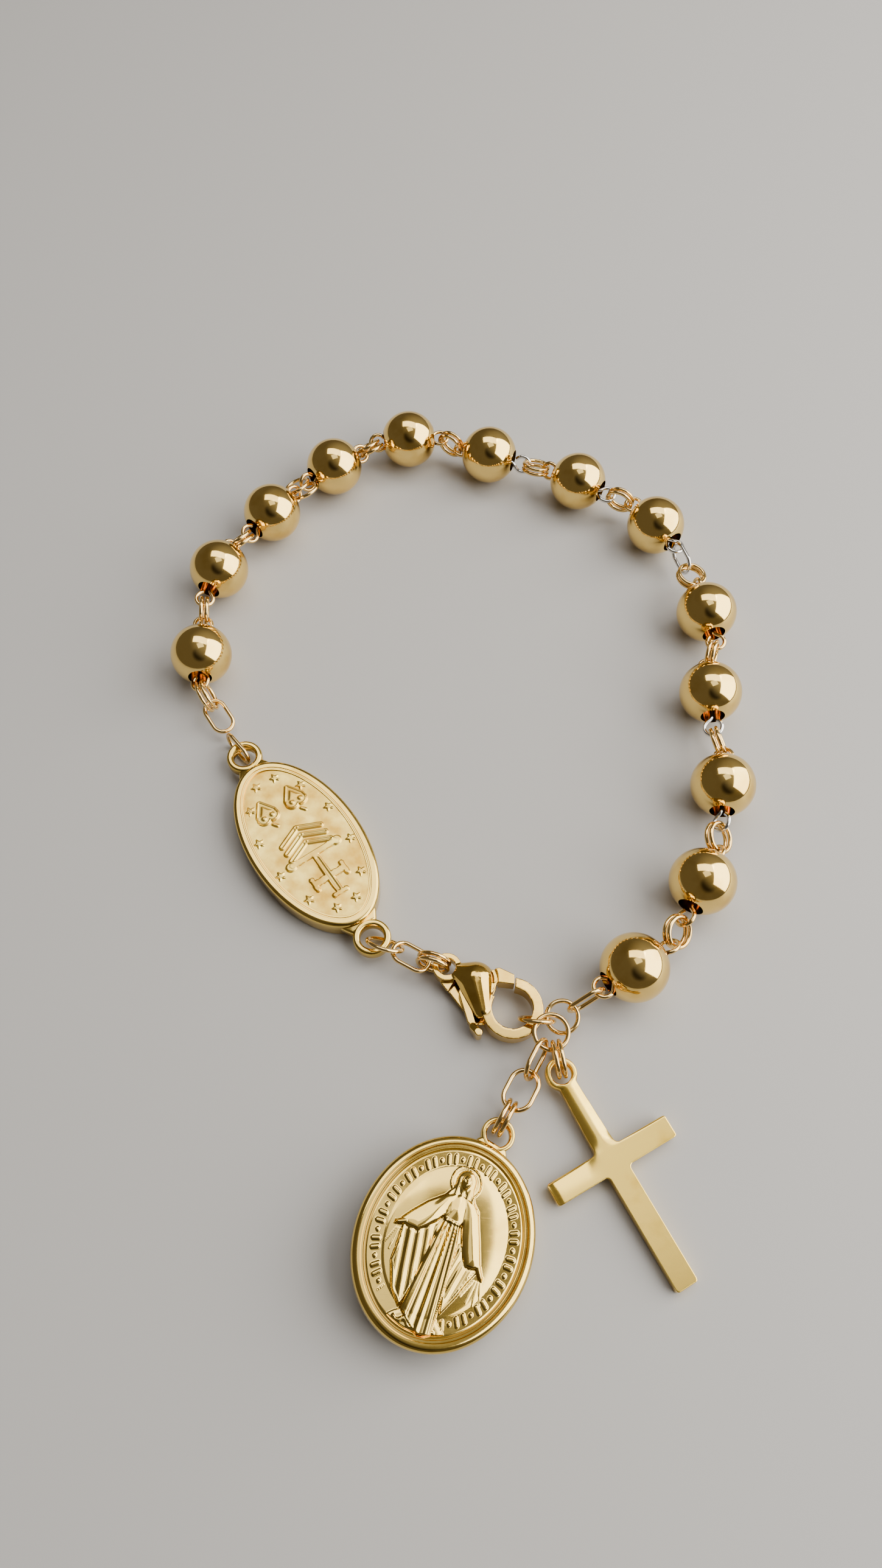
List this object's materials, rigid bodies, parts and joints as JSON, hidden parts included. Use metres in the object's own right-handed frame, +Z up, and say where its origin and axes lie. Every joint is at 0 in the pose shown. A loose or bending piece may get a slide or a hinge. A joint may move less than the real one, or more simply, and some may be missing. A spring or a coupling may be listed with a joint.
{
  "type": "rosary bracelet",
  "caption": "Chain bracelet of round metal beads on jump rings, with an oval connector medal, lobster clasp, oval pendant medal and small plain cross",
  "frame": {"origin": "middle of the footprint, on the surface that the bracelet lies on", "axes": "+Z up from the surface; +Y from the drops towards the far end of the loop; +X to the right of a viewer who looks along +Y"},
  "size_m": [0.0566, 0.0936, 0.006],
  "materials": {
    "polished_gold": "polished pale gold plating",
    "satin_gold": "satin pale gold plating",
    "medal_gold": "polished pale gold plating",
    "clasp_gold": "polished warm gold plating",
    "gold_wire": "polished rose gold wire",
    "steel_wire": "polished silver-coloured wire"
  },
  "bodies": {
    "bracelet": {"bead_01": "polished_gold", "bead_02": "polished_gold", "bead_03": "polished_gold", "bead_04": "polished_gold", "bead_05": "polished_gold", "bead_06": "polished_gold", "bead_07": "polished_gold", "bead_08": "polished_gold", "bead_09": "polished_gold", "bead_10": "polished_gold", "bead_11": "polished_gold", "bead_12": "polished_gold", "bead_13": "polished_gold", "eye_pin_01": "gold_wire", "eye_pin_02": "gold_wire", "eye_pin_03": "gold_wire", "eye_pin_04": "gold_wire", "eye_pin_05": "gold_wire", "eye_pin_06": "gold_wire", "eye_pin_07": "gold_wire", "eye_pin_08": "gold_wire", "eye_pin_09": "gold_wire", "eye_pin_10": "gold_wire", "eye_pin_11": "gold_wire", "eye_pin_12": "gold_wire", "eye_pin_13": "gold_wire", "ring_pair_01": "gold_wire", "ring_pair_02": "gold_wire", "ring_pair_03": "gold_wire", "ring_pair_04": "gold_wire", "ring_pair_05": "gold_wire", "ring_pair_06": "gold_wire", "ring_pair_07": "gold_wire", "ring_pair_08": "gold_wire", "ring_pair_09": "gold_wire", "ring_pair_10": "gold_wire", "ring_pair_11": "gold_wire", "ring_pair_12": "gold_wire", "spacer_link": "steel_wire", "connector_chain": "gold_wire", "connector_medal": "satin_gold", "clasp_chain": "gold_wire", "clasp_body": "clasp_gold", "clasp_pin": "clasp_gold", "end_chain": "gold_wire", "drop_rings": "gold_wire", "medal_chain": "gold_wire", "pendant_medal": "medal_gold", "cross_rings": "gold_wire", "cross": "polished_gold"},
    "lever": {"clasp_lever": "clasp_gold"}
  },
  "joints": [
    {"name": "clasp_lever_hinge", "type": "hinge", "parent": "bracelet", "child": "lever", "pos_m": [0.00129, -0.01826, 0.00135], "axis": [0, 0, -1], "range_deg": [0, 24], "stiffness_Nm_per_rad": 0.004, "springref_deg": -5.73}
  ]
}
